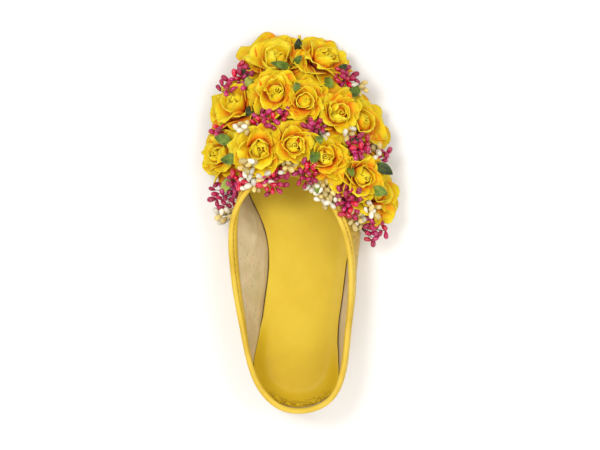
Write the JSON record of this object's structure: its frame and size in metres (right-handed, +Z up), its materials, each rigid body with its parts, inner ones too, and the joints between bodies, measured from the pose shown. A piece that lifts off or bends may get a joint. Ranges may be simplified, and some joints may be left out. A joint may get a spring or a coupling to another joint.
{
  "type": "khussa",
  "caption": "Closed-heel slip-on shoe with a low leather sole, a bound topline and a vamp covered by roses, pip sprays and leaves.",
  "frame": {"origin": "middle of the heel lift's underside, on the floor plane", "axes": "+Y towards the toe, +X to the outer side of the foot, +Z up"},
  "size_m": [0.1318, 0.27, 0.0634],
  "materials": {
    "sole_leather": "matt tan leather",
    "insole_sheet": "smooth yellow coated sheet",
    "upper_cloth": "gold yellow textured cloth over a beige lining",
    "binding_sheet": "soft yellow coated strip, satin",
    "rose_petals": "crinkled yellow petals, orange in the folds",
    "stamen_pips": "deep pink pips with fine glitter",
    "leaf_green": "matt green leaf cloth"
  },
  "bodies": {
    "root": {"heel_lift": "sole_leather", "insole": "insole_sheet", "leaf_01": "leaf_green", "leaf_02": "leaf_green", "leaf_03": "leaf_green", "leaf_04": "leaf_green", "outsole": "sole_leather", "pip_spray_01": "stamen_pips", "pip_spray_02": "stamen_pips", "pip_spray_03": "stamen_pips", "pip_spray_04": "stamen_pips", "pip_spray_05": "stamen_pips", "pip_spray_06": "stamen_pips", "pip_spray_07": "stamen_pips", "pip_spray_08": "stamen_pips", "pip_spray_09": "stamen_pips", "pip_spray_10": "stamen_pips", "rose_01": "rose_petals", "rose_02": "rose_petals", "rose_03": "rose_petals", "rose_04": "rose_petals", "rose_05": "rose_petals", "rose_06": "rose_petals", "rose_07": "rose_petals", "rose_08": "rose_petals", "rose_09": "rose_petals", "rose_10": "rose_petals", "rose_11": "rose_petals", "rose_12": "rose_petals", "rose_13": "rose_petals", "topline_binding": "binding_sheet", "upper": "upper_cloth"}
  },
  "joints": []
}
